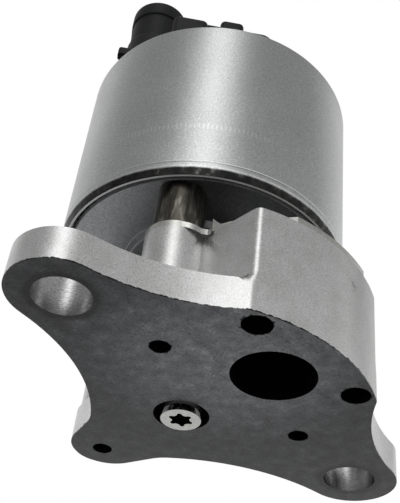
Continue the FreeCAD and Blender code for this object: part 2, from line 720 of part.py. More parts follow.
def buildSensorCap():
    body = newBody("sensor_cap", turn="capAngle")
    flange = newSketch(body, offset="capBase")
    circle(flange, "0", "0", "canInner - capClearance")
    pad(body, flange, "capFlangeThickness")
    deck = newSketch(body, offset="capBase")
    circle(deck, "0", "0", "canLipRadius - capNeckClearance")
    pad(body, deck, "deckTop - capBase")
    housing = newSketch(body, offset="capBase")
    left = "housingLeft"
    right = "-housingRight"
    front = "-housingFront"
    back = "housingBack"
    corner = "housingCorner"
    outline(housing, [
        (front + " + " + corner, right), (back + " - " + corner, right, corner, 1),
        (back, right + " + " + corner), (back, left + " - " + corner, corner, 1),
        (back + " - " + corner, left), (front + " + " + corner, left, corner, 1),
        (front, left + " - " + corner), (front, right + " + " + corner, corner, 1)])
    pad(body, housing, "housingTop - capBase")
    for low, high, top in (
            ("broadRibInner", "housingLeft", "broadRibTop"),
            ("-narrowRibRight", "narrowRibLeft", "narrowRibTop")):
        rib = newSketch(body, offset="capBase")
        rectangle(rib, "-housingFront - ribDepth", "0", low, high)
        pad(body, rib, top + " - capBase")
    tab = newSketch(body, offset="tabBottom")
    rectangle(tab, "-tabFront", "-tabBack", "shroudSide", "tabReach")
    pad(body, tab, "tabTop - tabBottom")
    for length, width, bottom, top in (
            ("footLength", "footWidth", "capBase", "footTop"),
            ("shroudNeckLength", "shroudNeckWidth", "capBase", "shroudTop"),
            ("collarLength", "collarWidth", "(shroudTop - collarHeight)", "shroudTop")):
        tower = newSketch(body, offset=bottom)
        stadium(tower, length, width, "shroudSide")
        pad(body, tower, "%s - %s" % (top, bottom))
    groove = newSketch(body, "XZ_Plane")
    rectangle(groove, "canInner - capClearance - 2 * sealRingWire", "canInner",
              "sealRingHeight - sealRingWire", "sealRingHeight + sealRingWire")
    addFeature(body, "Groove", groove, {}, ReferenceAxis=(groove, ["V_Axis"]), Angle=360.0)
    cavity = newSketch(body, offset="capBase")
    circle(cavity, "0", "0", "capCavityRadius")
    pocketUp(body, cavity, "deckRoof - capBase")
    chamber = newSketch(body, offset="capBase")
    rectangle(chamber, "-housingFront + housingWall", "housingBack - housingWall",
              "-housingRight + housingWall", "housingLeft - housingWall - 1.5")
    pocketUp(body, chamber, "housingRoof - capBase")
    socket = newSketch(body, offset="shroudTop")
    stadium(socket, "(shroudNeckLength - 2 * shroudWall)", "(shroudNeckWidth - 2 * shroudWall)", "shroudSide")
    pocketDown(body, socket, "shroudTop - shroudFloor")
    slots = newSketch(body, offset="capBase")
    for place in range(5):
        x = "%d * terminalPitch" % (place - 2)
        rectangle(slots, x + " - terminalWidth / 2", x + " + terminalWidth / 2",
                  "shroudSide - terminalThickness / 2", "shroudSide + terminalThickness / 2")
    pocketUp(body, slots, "shroudFloor - capBase")


def buildCapSealRing():
    body = newBody("cap_seal_ring")
    section = newSketch(body, "XZ_Plane")
    circle(section, "canInner - capClearance - sealRingWire", "sealRingHeight", "sealRingWire")
    addFeature(body, "Revolution", section, {}, ReferenceAxis=(section, ["V_Axis"]), Angle=360.0)


def buildSensorBase():
    # the disc that closes the cap from below, with the plunger's guide
    body = newBody("sensor_base", turn="capAngle")
    disc = newSketch(body, offset="capBase")
    circle(disc, "0", "0", "capCavityRadius")
    pad(body, disc, "sensorBaseThickness")
    guide = newSketch(body, offset="capBase")
    circle(guide, "0", "0", "guideRadius")
    pad(body, guide, "sensorBaseThickness + guideHeight")
    bore = newSketch(body, offset="capBase")
    circle(bore, "0", "0", "plungerRadius + fitClearance")
    pocketUp(body, bore, "sensorBaseThickness + guideHeight")
    for x in ("-2 * terminalPitch", "2 * terminalPitch"):
        slot = newSketch(body, offset="capBase")
        rectangle(slot, x + " - terminalWidth / 2", x + " + terminalWidth / 2",
                  "shroudSide - terminalThickness / 2", "shroudSide + terminalThickness / 2")
        pocketUp(body, slot, "sensorBaseThickness")


def buildSensorBoard():
    body = newBody("sensor_board", turn="capAngle")
    board = newSketch(body, offset="sensorBaseTop")
    rectangle(board, "-boardWidth / 2", "boardWidth / 2", "boardFace", "boardFace + boardThickness")
    pad(body, board, "housingRoof - sensorBaseTop")


def buildSensorPlunger():
    body = newBody("sensor_plunger", turn="capAngle")
    for radius, bottom, top in (
            ("plungerRadius", "plungerBottom", "carrierTop"),
            ("carrierPinRadius", "carrierTop", "carrierTop + carrierPinHeight")):
        rod = newSketch(body, offset=bottom)
        circle(rod, "0", "0", radius)
        pad(body, rod, "%s - (%s)" % (top, bottom))
    carrier = newSketch(body, offset="carrierBottom")
    rectangle(carrier, "-carrierSide / 2", "carrierSide / 2", "-carrierSide / 2", "carrierSide / 2")
    pad(body, carrier, "carrierHeight")


def buildWiperContact():
    body = newBody("wiper_contact", turn="capAngle")
    finger = newSketch(body, "YZ_Plane", "-wiperWidth / 2")
    middle = "(carrierBottom + carrierHeight / 2)"
    face = "(boardFace - wiperGap)"
    low = middle + " - wiperThickness / 2"
    high = middle + " + wiperThickness / 2"
    outline(finger, [
        ("carrierSide / 2", low), (face + " - wiperThickness", low),
        (face + " - wiperThickness", "carrierBottom"), (face, "carrierBottom"), (face, "carrierTop"),
        (face + " - wiperThickness", "carrierTop"), (face + " - wiperThickness", high),
        ("carrierSide / 2", high)])
    pad(body, finger, "wiperWidth")


def buildPlungerSpring():
    body = newBody("plunger_spring", turn="capAngle")
    coil(body, "plungerSpringRadius", "plungerSpringWire", "carrierTop", "housingRoof", "plungerSpringTurns")


def buildTerminal(place):
    # the outer blades stand on the coil tabs, the inner three turn in to the sensor board
    body = newBody("terminal_%d" % place, turn="capAngle")
    profile = newSketch(
        body, "YZ_Plane", "%d * terminalPitch - terminalWidth / 2" % (place - 3))
    near = "shroudSide - terminalThickness / 2"
    far = "shroudSide + terminalThickness / 2"
    tip = [
        (far, "terminalTop - terminalThickness"), ("shroudSide + terminalThickness / 4", "terminalTop"),
        ("shroudSide - terminalThickness / 4", "terminalTop"), (near, "terminalTop - terminalThickness")]
    if place in (1, 5):
        outline(profile, tip + [(near, "coilTabTop"), (far, "coilTabTop")])
    else:
        outline(profile, tip + [
            (near, "terminalFoot + terminalThickness"),
            ("boardFace + boardThickness", "terminalFoot + terminalThickness"),
            ("boardFace + boardThickness", "terminalFoot"), (far, "terminalFoot")])
    pad(body, profile, "terminalWidth")


def buildCoilTab(label, x):
    body = newBody(label, turn="capAngle")
    blade = newSketch(body, offset="bobbinTop")
    rectangle(blade, x + " - terminalWidth / 2", x + " + terminalWidth / 2",
              "shroudSide - terminalThickness / 2", "shroudSide + terminalThickness / 2")
    pad(body, blade, "coilTabTop - bobbinTop")


def build():
    buildBaseCasting()
    buildValveSeat()
    buildShaftBushing()
    buildGasShield()
    buildShaftSeal()
    buildSealSpring()
    buildPintle()
    buildPintleShaft()
    screws = {"left": ("-screwX", "screwY"), "right": ("screwX", "screwY"), "rear": ("0", "screwCircleRadius")}
    for side, (x, y) in screws.items():
        buildSpacer("spacer_" + side, x, y)
        buildScrew("base_screw_" + side, x, y)
    buildLowerPolePlate()
    buildSolenoidCan()
    buildArmatureSleeve()
    buildArmature()
    buildUpperPole()
    buildReturnSpring()
    buildFluxWasher()
    buildCoilBobbin()
    buildCoilWinding()
    buildSensorCap()
    buildCapSealRing()
    buildSensorBase()
    buildSensorBoard()
    buildSensorPlunger()
    buildWiperContact()
    buildPlungerSpring()
    for place in range(1, 6):
        buildTerminal(place)
    buildCoilTab("coil_tab_left", "-2 * terminalPitch")
    buildCoilTab("coil_tab_right", "2 * terminalPitch")


def checkModel():
    for item in doc.Objects:
        if "Invalid" in item.State or "Error" in item.State:
            raise RuntimeError("%s failed: %s" % (item.Label, item.State))
        if item.TypeId in ("PartDesign::Pocket", "PartDesign::Groove"):
            removed = item.BaseFeature.Shape.Volume - item.Shape.Volume
            if removed < 0.01:
                raise RuntimeError("%s of %s cuts nothing" % (item.Label, item.BaseFeature.Label))
    for body in subparts:
        if body.Shape.isNull() or not body.Shape.isValid() or not body.Shape.Solids:
            raise RuntimeError("%s has no sound shape" % body.Label)


build()
doc.recompute()
checkModel()
os.makedirs("parts", exist_ok=True)
for body in subparts:
    body.Shape.exportStep("parts/%s.step" % body.Label)
    print("%-20s volume %9.1f  solids %d" % (body.Label, body.Shape.Volume, len(body.Shape.Solids)))
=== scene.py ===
import math
import bmesh
import bpy
import numpy as np
from mathutils import Matrix, Vector


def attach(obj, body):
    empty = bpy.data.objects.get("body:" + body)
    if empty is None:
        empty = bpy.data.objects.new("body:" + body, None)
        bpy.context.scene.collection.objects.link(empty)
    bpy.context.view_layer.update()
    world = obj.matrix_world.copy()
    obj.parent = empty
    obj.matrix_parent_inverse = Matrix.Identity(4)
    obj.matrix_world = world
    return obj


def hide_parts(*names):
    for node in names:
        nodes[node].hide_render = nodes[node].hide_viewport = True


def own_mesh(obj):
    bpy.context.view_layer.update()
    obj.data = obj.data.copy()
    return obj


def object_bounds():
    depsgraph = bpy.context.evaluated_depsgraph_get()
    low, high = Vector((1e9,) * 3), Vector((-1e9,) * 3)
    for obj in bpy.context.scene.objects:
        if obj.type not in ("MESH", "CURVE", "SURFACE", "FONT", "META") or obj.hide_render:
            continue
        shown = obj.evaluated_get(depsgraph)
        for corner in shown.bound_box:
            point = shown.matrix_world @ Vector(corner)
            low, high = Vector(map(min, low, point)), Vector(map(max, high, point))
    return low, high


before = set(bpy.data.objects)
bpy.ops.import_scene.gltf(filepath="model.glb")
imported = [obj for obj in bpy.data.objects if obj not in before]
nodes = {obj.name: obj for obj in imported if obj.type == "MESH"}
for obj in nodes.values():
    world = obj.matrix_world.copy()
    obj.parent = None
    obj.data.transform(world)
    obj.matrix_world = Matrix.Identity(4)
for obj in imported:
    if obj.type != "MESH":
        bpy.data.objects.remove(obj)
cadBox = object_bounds()
mm = 0.001
print("frame loaded:", len(nodes), "nodes")


# camera, set where the photograph was taken from

cameraValues = {
    "place": (-98.9 * mm, -112.95 * mm, -86.1 * mm),
    "azimuth": -42.61,      # degrees round the object, 0 looks along +Y
    "elevation": -39.62,    # below the horizon, so it looks up at the flange
    "roll": 6.51,
    "lens": 68.0,           # mm, on a sensor of this length along the picture's height
    "sensor": 36.0,
    "shiftX": -0.040,
    "shiftY": 0.007,
    "nearest": 5 * mm,      # what is nearer than this isn't drawn
}


def makeCamera():
    v = cameraValues
    azimuth = math.radians(v["azimuth"])
    elevation = math.radians(v["elevation"])
    roll = math.radians(v["roll"])
    # the camera's back points from the object to the camera, and its sides come from that and the roll
    back = Vector((math.sin(azimuth) * math.cos(elevation), -math.cos(azimuth) * math.cos(elevation),
                   math.sin(elevation)))
    level = Vector((math.cos(azimuth), math.sin(azimuth), 0))
    above = back.cross(level)
    right = level * math.cos(roll) + above * math.sin(roll)
    up = back.cross(right)
    camera = bpy.data.objects.new("camera", bpy.data.cameras.new("camera"))
    camera.data.lens = v["lens"]
    camera.data.sensor_width = v["sensor"]
    camera.data.shift_x = v["shiftX"]
    camera.data.shift_y = v["shiftY"]
    camera.data.clip_start = v["nearest"]
    camera.matrix_world = Matrix.Translation(Vector(v["place"])) @ Matrix(
        (right, up, back)).transposed().to_4x4()
    bpy.context.scene.collection.objects.link(camera)
    bpy.context.scene.camera = camera


makeCamera()
bpy.context.scene.view_settings.view_transform = "Standard"
print("camera placed")


# nodes and colours

def linear(hexText):
    # sRGB hex to linear: c / 12.92 near black, ((c + 0.055) / 1.055) ^ 2.4 above
    channels = np.array([int(hexText[place:place + 2], 16) for place in (1, 3, 5)]) / 255
    lifted = np.where(channels <= 0.04045, channels / 12.92, ((channels + 0.055) / 1.055) ** 2.4)
    return (*lifted.tolist(), 1.0)


def addNode(tree, kind, settings=None, links=None):
    # a node with its settings (sockets by name or number, or properties) and its incoming links
    node = tree.nodes.new(kind)
    for name, value in (settings or {}).items():
        if name == "stops":
            ramp = node.color_ramp.elements
            while len(ramp) < len(value):
                ramp.new(0.5)
            for stop, (position, colour) in zip(ramp, value):
                stop.position = position
                stop.color = linear(colour)
        elif isinstance(name, int) or name in node.inputs:
            node.inputs[name].default_value = value
        else:
            setattr(node, name, value)
    for name, source in (links or {}).items():
        tree.links.new(source, node.inputs[name])
    return node


def addFed(tree, kind, settings, terms):
    # a node whose terms, by socket number, are outputs to link or plain values to set
    links = {place: term for place, term in terms.items() if isinstance(term, bpy.types.NodeSocket)}
    plain = {place: term for place, term in terms.items() if place not in links}
    return addNode(tree, kind, {**settings, **plain}, links)


def mathOf(tree, operation, *terms, clamp=False):
    # a math node's result, of outputs or numbers
    return addFed(tree, "ShaderNodeMath", {"operation": operation, "use_clamp": clamp},
                  dict(enumerate(terms))).outputs[0]


def vectorOf(tree, operation, *terms, output=0):
    # the same for vectors; output "Value" gives a number
    return addFed(tree, "ShaderNodeVectorMath", {"operation": operation},
                  dict(enumerate(terms))).outputs[output]


def axesOf(tree, vector):
    return addNode(tree, "ShaderNodeSeparateXYZ", {}, {0: vector}).outputs


def spread(tree, value, start, end, low=0.0, high=1.0, soft=False):
    # value from start to end becomes low to high, held beyond both, and eased at both where soft
    return addNode(tree, "ShaderNodeMapRange", {
        "interpolation_type": "SMOOTHSTEP" if soft else "LINEAR", "From Min": start, "From Max": end,
        "To Min": low, "To Max": high}, {"Value": value}).outputs[0]


def between(tree, value, low, high, soft):
    # 1 where low < value < high, with soft borders
    return mathOf(tree, "MULTIPLY", spread(tree, value, low - soft, low + soft),
                 spread(tree, value, high + soft, high - soft))


def mixLevels(tree, share, first, second):
    # first where share is 0, second where it is 1
    return addFed(tree, "ShaderNodeMix", {"data_type": "FLOAT"}, {0: share, 2: first, 3: second}).outputs[0]


def mixColours(tree, share, first, second, how="MIX"):
    # first blended with second, as far as share says
    return addFed(tree, "ShaderNodeMix", {"data_type": "RGBA", "blend_type": how},
                  {0: share, 6: first, 7: second}).outputs[2]


def mixShaders(tree, share, first, second):
    return addNode(tree, "ShaderNodeMixShader", {}, {
        0: share, 1: first.outputs[0], 2: second.outputs[0]}).outputs[0]


usualNoise = (0.3, 0.7)      # nearly all of a noise lies between these


def noise(tree, place, cellMm, detail=2.0, roughness=0.5):
    return addNode(tree, "ShaderNodeTexNoise", {
        "Scale": 1 / (cellMm * mm), "Detail": detail, "Roughness": roughness},
        {"Vector": place}).outputs["Fac"]


def tones(tree, value, stops):
    return addNode(tree, "ShaderNodeValToRGB", {"stops": stops}, {"Fac": value}).outputs["Color"]


def bump(tree, height, strength, depthMm):
    return addNode(tree, "ShaderNodeBump", {"Strength": strength, "Distance": depthMm * mm},
                   {"Height": height}).outputs[0]


def stretched(tree, place, scale, turn=0.0):
    # a scale below 1 draws a noise out along that axis; the turn is the noise's own and comes after the scale
    return addNode(tree, "ShaderNodeMapping", {"Rotation": (0, 0, turn), "Scale": scale},
                   {"Vector": place}).outputs[0]


def alongWay(degrees):
    return (math.cos(math.radians(degrees)), math.sin(math.radians(degrees)), 0)


def turnedTo(tree, place, degrees):
    # cosine of the level angle between the way out to place and the way that lies degrees round from +X
    flat = vectorOf(tree, "MULTIPLY", place, (1, 1, 0))
    outward = vectorOf(tree, "NORMALIZE", flat)
    return vectorOf(tree, "DOT_PRODUCT", outward, alongWay(degrees), output="Value")


def newMaterial(name, settings):
    material = bpy.data.materials.new(name)
    material.use_nodes = True
    tree = material.node_tree
    tree.nodes.clear()
    shader = addNode(tree, "ShaderNodeBsdfPrincipled", settings)
    addNode(tree, "ShaderNodeOutputMaterial", links={"Surface": shader.outputs[0]})
    place = addNode(tree, "ShaderNodeTexCoord").outputs["Object"]
    return material, tree, shader, place


def link(tree, shader, links):
    # links outputs to the shader's sockets by name
    for name, source in links.items():
        tree.links.new(source, shader.inputs[name])


# light

lightValues = {
    "background": "#ffffff",
    "diffuseRoom": 0.42,           # level that dull surfaces gather from above
    "diffuseBelow": 0.34,          # and from below
    "diffuseEdge": (-0.5, 0.2),    # heights between which one turns into the other: -1 is down and 1 up
    "room": 0.36,                  # level that metal mirrors from the dark sides of the room
    "keyWay": -140,                # degrees round the object from +X, where the strip light stands
    "keyFocus": 24,                # the power that narrows the strip
    "keyLevel": 1.75,
    "backdropWay": 48,
    "backdropLevel": 0.48,         # what the backdrop adds to the room
    "backdropEdge": (-0.05, 0.85),      # cosines from its way between which it fades in
    "glowWay": -70,                # a low white card on the right of the camera
    "glowLevel": 0.78,
    "glowSpill": 0.22,             # what the low card adds all round
    "glowEdge": (-0.4, 0.5),       # cosines
    "glowHeight": (0.68, 0.33),    # heights between which the card fades in, going down
    "tableEdge": (-0.08, 0.14),    # heights between which the room takes over from the table
    "below": 0.05,                 # level that metal mirrors from under the table's edge
    "lowerBackdrop": 0.85,         # and from the part of the backdrop below it
    "lowerEdge": (0.0, 0.9),       # cosines
    "aim": (0, 0, 45 * mm),        # the point that both lamps face
    "lampWay": (-0.55, -0.54, 0.64),
    "lampDistance": 0.62,          # m, as are the sizes
    "lampSize": (0.20, 0.44),
    "lampPower": 0.95,             # W
    "fillWay": (0.95, -0.15, 0.25),
    "fillSize": (0.30, 0.30),
    "fillPower": 0.35,
    "floor": "#f1f1f0",
    "floorHalf": 1.5,
    "floorDrop": 0.5 * mm,
    "floorFade": (85 * mm, 125 * mm),
}


def makeWorld():
    # Metal mirrors a room with one tall strip light beside the camera and a pale backdrop behind the object.
    # Dull surfaces gather an even light, and the camera itself sees plain white.
    v = lightValues
    world = bpy.data.worlds.new("studio")
    bpy.context.scene.world = world
    world.use_nodes = True
    tree = world.node_tree
    tree.nodes.clear()
    way = addNode(tree, "ShaderNodeTexCoord").outputs["Generated"]
    height = axesOf(tree, way)["Z"]
    toKey = mathOf(tree, "MAXIMUM", turnedTo(tree, way, v["keyWay"]), 0)
    toBack = turnedTo(tree, way, v["backdropWay"])
    toCard = turnedTo(tree, way, v["glowWay"])
    strip = mathOf(tree, "POWER", toKey, v["keyFocus"])
    backdrop = spread(tree, toBack, *v["backdropEdge"], v["room"], v["room"] + v["backdropLevel"],
                      soft=True)
    lit = mathOf(tree, "MULTIPLY_ADD", strip, v["keyLevel"], backdrop)
    card = spread(tree, toCard, *v["glowEdge"], v["glowSpill"], v["glowLevel"], soft=True)
    low = spread(tree, height, *v["glowHeight"], soft=True)
    upper = mathOf(tree, "MULTIPLY_ADD", card, low, lit)
    above = spread(tree, height, *v["tableEdge"], soft=True)
    under = spread(tree, toBack, *v["lowerEdge"], v["below"], v["lowerBackdrop"], soft=True)
    mirrored = mixLevels(tree, above, under, upper)
    gathered = spread(tree, height, *v["diffuseEdge"], v["diffuseBelow"], v["diffuseRoom"], soft=True)
    rays = addNode(tree, "ShaderNodeLightPath").outputs
    level = mixLevels(tree, rays["Is Glossy Ray"], gathered, mirrored)
    white = linear(v["background"])
    room = addNode(tree, "ShaderNodeBackground", {"Color": white}, {"Strength": level})
    plain = addNode(tree, "ShaderNodeBackground", {"Color": white, "Strength": 1.0})
    addNode(tree, "ShaderNodeOutputWorld", links={
        "Surface": mixShaders(tree, rays["Is Camera Ray"], room, plain)})


def makeLamp(name, way, size, power):
    # lamps light the dull surfaces, and the world's strip stands for them in the metal
    lamp = bpy.data.objects.new(name, bpy.data.lights.new(name, "AREA"))
    lamp.data.shape = "RECTANGLE"
    lamp.data.size, lamp.data.size_y = size
    lamp.data.energy = power
    lamp.visible_glossy = False
    toLamp = Vector(way).normalized()
    place = Vector(lightValues["aim"]) + toLamp * lightValues["lampDistance"]
    lamp.matrix_world = Matrix.Translation(place) @ toLamp.to_track_quat("Z", "Y").to_matrix().to_4x4()
    bpy.context.scene.collection.objects.link(lamp)


def makeFloor():
    # The floor shows, with the object's shadow on it, to a camera above it, and in the metal away from the
    # object's foot.
    v = lightValues
    half = v["floorHalf"]
    height = cadBox[0].z - v["floorDrop"]
    mesh = bpy.data.meshes.new("floor")
    mesh.from_pydata([(-half, -half, height), (half, -half, height), (half, half, height),
                      (-half, half, height)], [], [(0, 1, 2, 3)])
    floor = bpy.data.objects.new("floor", mesh)
    bpy.context.scene.collection.objects.link(floor)
    material = bpy.data.materials.new("paleFloor")
    material.use_nodes = True
    tree = material.node_tree
    tree.nodes.clear()
    paper = addNode(tree, "ShaderNodeBsdfDiffuse", {"Color": linear(v["floor"])})
    clear = addNode(tree, "ShaderNodeBsdfTransparent")
    rays = addNode(tree, "ShaderNodeLightPath").outputs
    geometry = addNode(tree, "ShaderNodeNewGeometry").outputs
    spot = vectorOf(tree, "MULTIPLY", geometry["Position"], (1, 1, 0))
    away = spread(tree, vectorOf(tree, "LENGTH", spot, output="Value"), *v["floorFade"], soft=True)
    seen = mathOf(tree, "MULTIPLY_ADD", rays["Is Glossy Ray"], away, rays["Is Camera Ray"], clamp=True)
    shown = mathOf(tree, "SUBTRACT", seen, geometry["Backfacing"], clamp=True)
    addNode(tree, "ShaderNodeOutputMaterial", links={"Surface": mixShaders(tree, shown, clear, paper)})
    mesh.materials.append(material)


makeWorld()
makeLamp("keySoftbox", lightValues["lampWay"], lightValues["lampSize"], lightValues["lampPower"])
makeLamp("fillSoftbox", lightValues["fillWay"], lightValues["fillSize"], lightValues["fillPower"])
makeFloor()
print("light set")


# materials

castingValues = {
    "metallic": 0.86,                  # the blasted skin scatters part of the light evenly
    "wallStops": ((0.26, "#b6b6b6"), (0.50, "#cacaca"), (0.74, "#e6e6e5")),
    "wallGrain": 0.24,                 # mm, as are all the grains
    "wallRoughness": (0.25, 0.35),
    "pits": (0.36, 0.05),              # strength, and depth in mm
    "patchGrain": 4.0,
    "patchStops": ((0.22, "#b0b0b0"), (0.32, "#f0f0ef"), (0.62, "#ffffff")),
    "shadedRight": (1.0, 9.0, 0.56),        # x in mm between which painted shade darkens the wall, and how far
    "faceStops": ((0.30, "#414143"), (0.48, "#515254"), (0.60, "#5c5d5f"), (0.75, "#747577")),
    "faceGrain": 2.6,
    "scratchGrain": 0.7,
    "scratchStretch": (1, 0.05, 1),    # draws the scratches out along y
    "scratchTurn": 0.6,                # radians that their noise is turned, so that its cells don't show
    "scratchStops": ((0.58, "#000000"), (0.78, "#4c4e4e")),
    "scratchShare": 0.85,
    "speckGrain": 0.45,
    "speckStops": ((0.30, "#5a5a5a"), (0.42, "#bcbcbc"), (0.60, "#bcbcbc"), (0.72, "#f6f6f6")),
    "speckShare": 0.8,
    "brightSpot": (-8.0, -19.0),         # x, y in mm where the face is brightest
    "brightReach": (6.0, 30.0),          # mm from there between which its level falls
    "brightLevels": (1.20, 0.40),
    "boltHoles": (36.1, -10.0, 4.93),  # x, y and radius in mm
    "boltRing": (1.0, 2.2, 0.45),        # mm from the hole's rim where the dark ring ends, and its level
    "border": "#161617",               # the ground face's rough rim
    "borderRise": (0.01, 0.10),        # heights in mm between which the rim takes over from the face
    "faceTop": (0.74, 0.64),           # heights in mm, waver added, between which skin turns into ground face
    "flushTop": (0.08, 0.04),          # below these heights all is ground, however the skin wavers
    "waverGrain": 1.0,
    "skinWaver": 0.9,                  # mm that the skin's lower border wavers
    "boltRingWaver": 0.8,                # mm that the dark ring wavers
    "crumbled": ((12.6, -29.4, 2.6), (-12.6, -29.4, 2.6), (17.52, -12.63, 1.85), (-17.52, -12.63, 1.85),
                 (0, 21.6, 1.85)),     # holes whose mouths are eaten by rust: x, y and radius in mm
    "crumble": (2.6, -1.18, 0.12),     # mm: how far the rust wavers, where it starts and how soft its edge is
    "rust": "#0c0c0c",
}


def blastedCasting():
    # Cast iron, shot blasted: bright grey with a fine pitted grain that sparkles. Its mounting face is ground
    # and then oxidised by handling, which leaves it graphite dark with pale scratches.
    v = castingValues
    material, tree, shader, place = newMaterial("blastedCastIron", {"Metallic": v["metallic"]})
    spots = axesOf(tree, place)
    grain = noise(tree, place, v["wallGrain"], detail=4.0, roughness=0.7)
    patches = noise(tree, place, v["patchGrain"], detail=5.0, roughness=0.6)
    wall = mixColours(tree, 1.0, tones(tree, grain, v["wallStops"]), tones(tree, patches, v["patchStops"]),
                      "MULTIPLY")
    # painted shade: the wall is drawn darker towards +x
    unshadedX, shadedX, darkest = v["shadedRight"]
    paintedShadeRight = spread(tree, spots["X"], unshadedX * mm, shadedX * mm, 1.0, darkest, soft=True)
    wall = mixColours(tree, 1.0, wall, paintedShadeRight, "MULTIPLY")
    # the ground face lies close to the mounting plane, and its border wavers with the casting's skin
    waver = noise(tree, place, v["waverGrain"], detail=5.0, roughness=0.6)
    lifted = mathOf(tree, "MULTIPLY_ADD", waver, v["skinWaver"] * mm, spots["Z"])
    skin = spread(tree, lifted, *(height * mm for height in v["faceTop"]))
    flush = spread(tree, spots["Z"], *(height * mm for height in v["flushTop"]))
    ground = mathOf(tree, "MAXIMUM", skin, flush)
    rim = spread(tree, spots["Z"], *(height * mm for height in v["borderRise"]))
    mottle = noise(tree, place, v["faceGrain"], detail=7.0, roughness=0.62)
    face = tones(tree, mottle, v["faceStops"])
    drawn = stretched(tree, place, v["scratchStretch"], v["scratchTurn"])
    scratch = noise(tree, drawn, v["scratchGrain"], detail=5.0, roughness=0.75)
    face = mixColours(tree, v["scratchShare"], face, tones(tree, scratch, v["scratchStops"]), "SCREEN")
    specks = tones(tree, noise(tree, place, v["speckGrain"]), v["speckStops"])
    face = mixColours(tree, v["speckShare"], face, specks, "OVERLAY")
    # a dark ring round each bolt hole: distance from (|x|, y) to the hole's axis
    boltX, boltY, boltRadius = v["boltHoles"]
    flat = addNode(tree, "ShaderNodeCombineXYZ", {}, {
        0: mathOf(tree, "ABSOLUTE", spots["X"]), 1: spots["Y"]}).outputs[0]
    reach = vectorOf(tree, "DISTANCE", flat, (boltX * mm, boltY * mm, 0), output="Value")
    wavered = mathOf(tree, "MULTIPLY_ADD", waver, v["boltRingWaver"] * mm, reach)
    ringEnd, ringFade, ringLevel = v["boltRing"]
    boltRing = spread(tree, wavered, (boltRadius + ringEnd) * mm, (boltRadius + ringFade) * mm, ringLevel, 1.0,
                    soft=True)
    spotX, spotY = v["brightSpot"]
    fromSpot = vectorOf(tree, "DISTANCE", place, (spotX * mm, spotY * mm, 0), output="Value")
    spotLevel = spread(tree, fromSpot, *(reach * mm for reach in v["brightReach"]), *v["brightLevels"], soft=True)
    face = mixColours(tree, 1.0, face, mathOf(tree, "MULTIPLY", boltRing, spotLevel), "MULTIPLY")
    face = mixColours(tree, rim, face, linear(v["border"]))
    # rust crumbles the mouths of the small holes: distance to the nearest mouth against a wavering reach
    nearest = 1.0
    for holeX, holeY, holeRadius in v["crumbled"]:
        fromHole = vectorOf(tree, "DISTANCE", place, (holeX * mm, holeY * mm, 0), output="Value")
        nearest = mathOf(tree, "MINIMUM", nearest, mathOf(tree, "SUBTRACT", fromHole, holeRadius * mm))
    widest, start, softness = v["crumble"]
    eaten = mathOf(tree, "MULTIPLY_ADD", waver, widest * mm, start * mm)
    rust = spread(tree, mathOf(tree, "SUBTRACT", eaten, nearest), 0.0, softness * mm)
    face = mixColours(tree, rust, face, linear(v["rust"]))
    link(tree, shader, {
        "Base Color": mixColours(tree, ground, wall, face),
        "Roughness": spread(tree, grain, *usualNoise, *v["wallRoughness"]),
        "Normal": bump(tree, grain, *v["pits"])})
    return material


sootAndShadeValues = {
    "grain": 0.5,                  # mm
    "stops": ((0.35, "#040404"), (0.70, "#0d0d0d")),
    "roughness": (0.8, 1.0),
}


def sootAndShadeHole():
    # Exhaust soot baked on cast iron, and painted shade for the depth of the ports, holes and the pintle's
    # socket: dead black, so they read as deep.
    v = sootAndShadeValues
    material, tree, shader, place = newMaterial("bakedSootAndPaintedShade", {"Metallic": 0.0, "Specular IOR Level": 0.1})
    cake = noise(tree, place, v["grain"], detail=4.0)
    link(tree, shader, {
        "Base Color": tones(tree, cake, v["stops"]),
        "Roughness": spread(tree, cake, 0.0, 1.0, *v["roughness"]),
        "Normal": bump(tree, cake, strength=0.5, depthMm=0.1)})
    return material


zincValues = {
    "stops": ((0.28, "#9c9d9d"), (0.50, "#b4b5b5"), (0.74, "#d6d7d7")),
    "grain": 0.26,                 # mm
    "cloudGrain": 9.0,             # mm, the patches that differ in roughness
    "roughness": (0.29, 0.35),
    "rollTop": (35.8, 35.6),       # mm, below which what faces down is painted dark: painted shade
    "paintedShadeTones": ((0.40, "#262626"), (0.58, "#353534"), (0.76, "#767674")),
    "shadeMottleGrain": 2.0,             # mm
    "shadeMottleWaver": 0.16,
    "shadedFacing": (-0.84, -0.20),      # how far down the part with painted shade faces: -1 is straight down
    "groove": (35.78, 36.10),      # mm, the groove above the roll, where shade is painted
    "paintedGrooveShade": (0.22, "#4a4a4a"),
    "footFacing": (-0.90, -0.97),  # and the flat foot
    "footColour": "#e2e2e2",
    "footMetallic": 0.1,
    "tickHeight": (44.7, 45.9),    # the faint row of press marks on the wall
    "tickWay": (-173, -110),       # degrees round from +X
    "tickPitch": 1.7,              # degrees
    "tickPart": (0.35, 0.60),      # the part of a pitch that a mark fills
    "tickMark": (0.32, "#f2f2f2"),
}


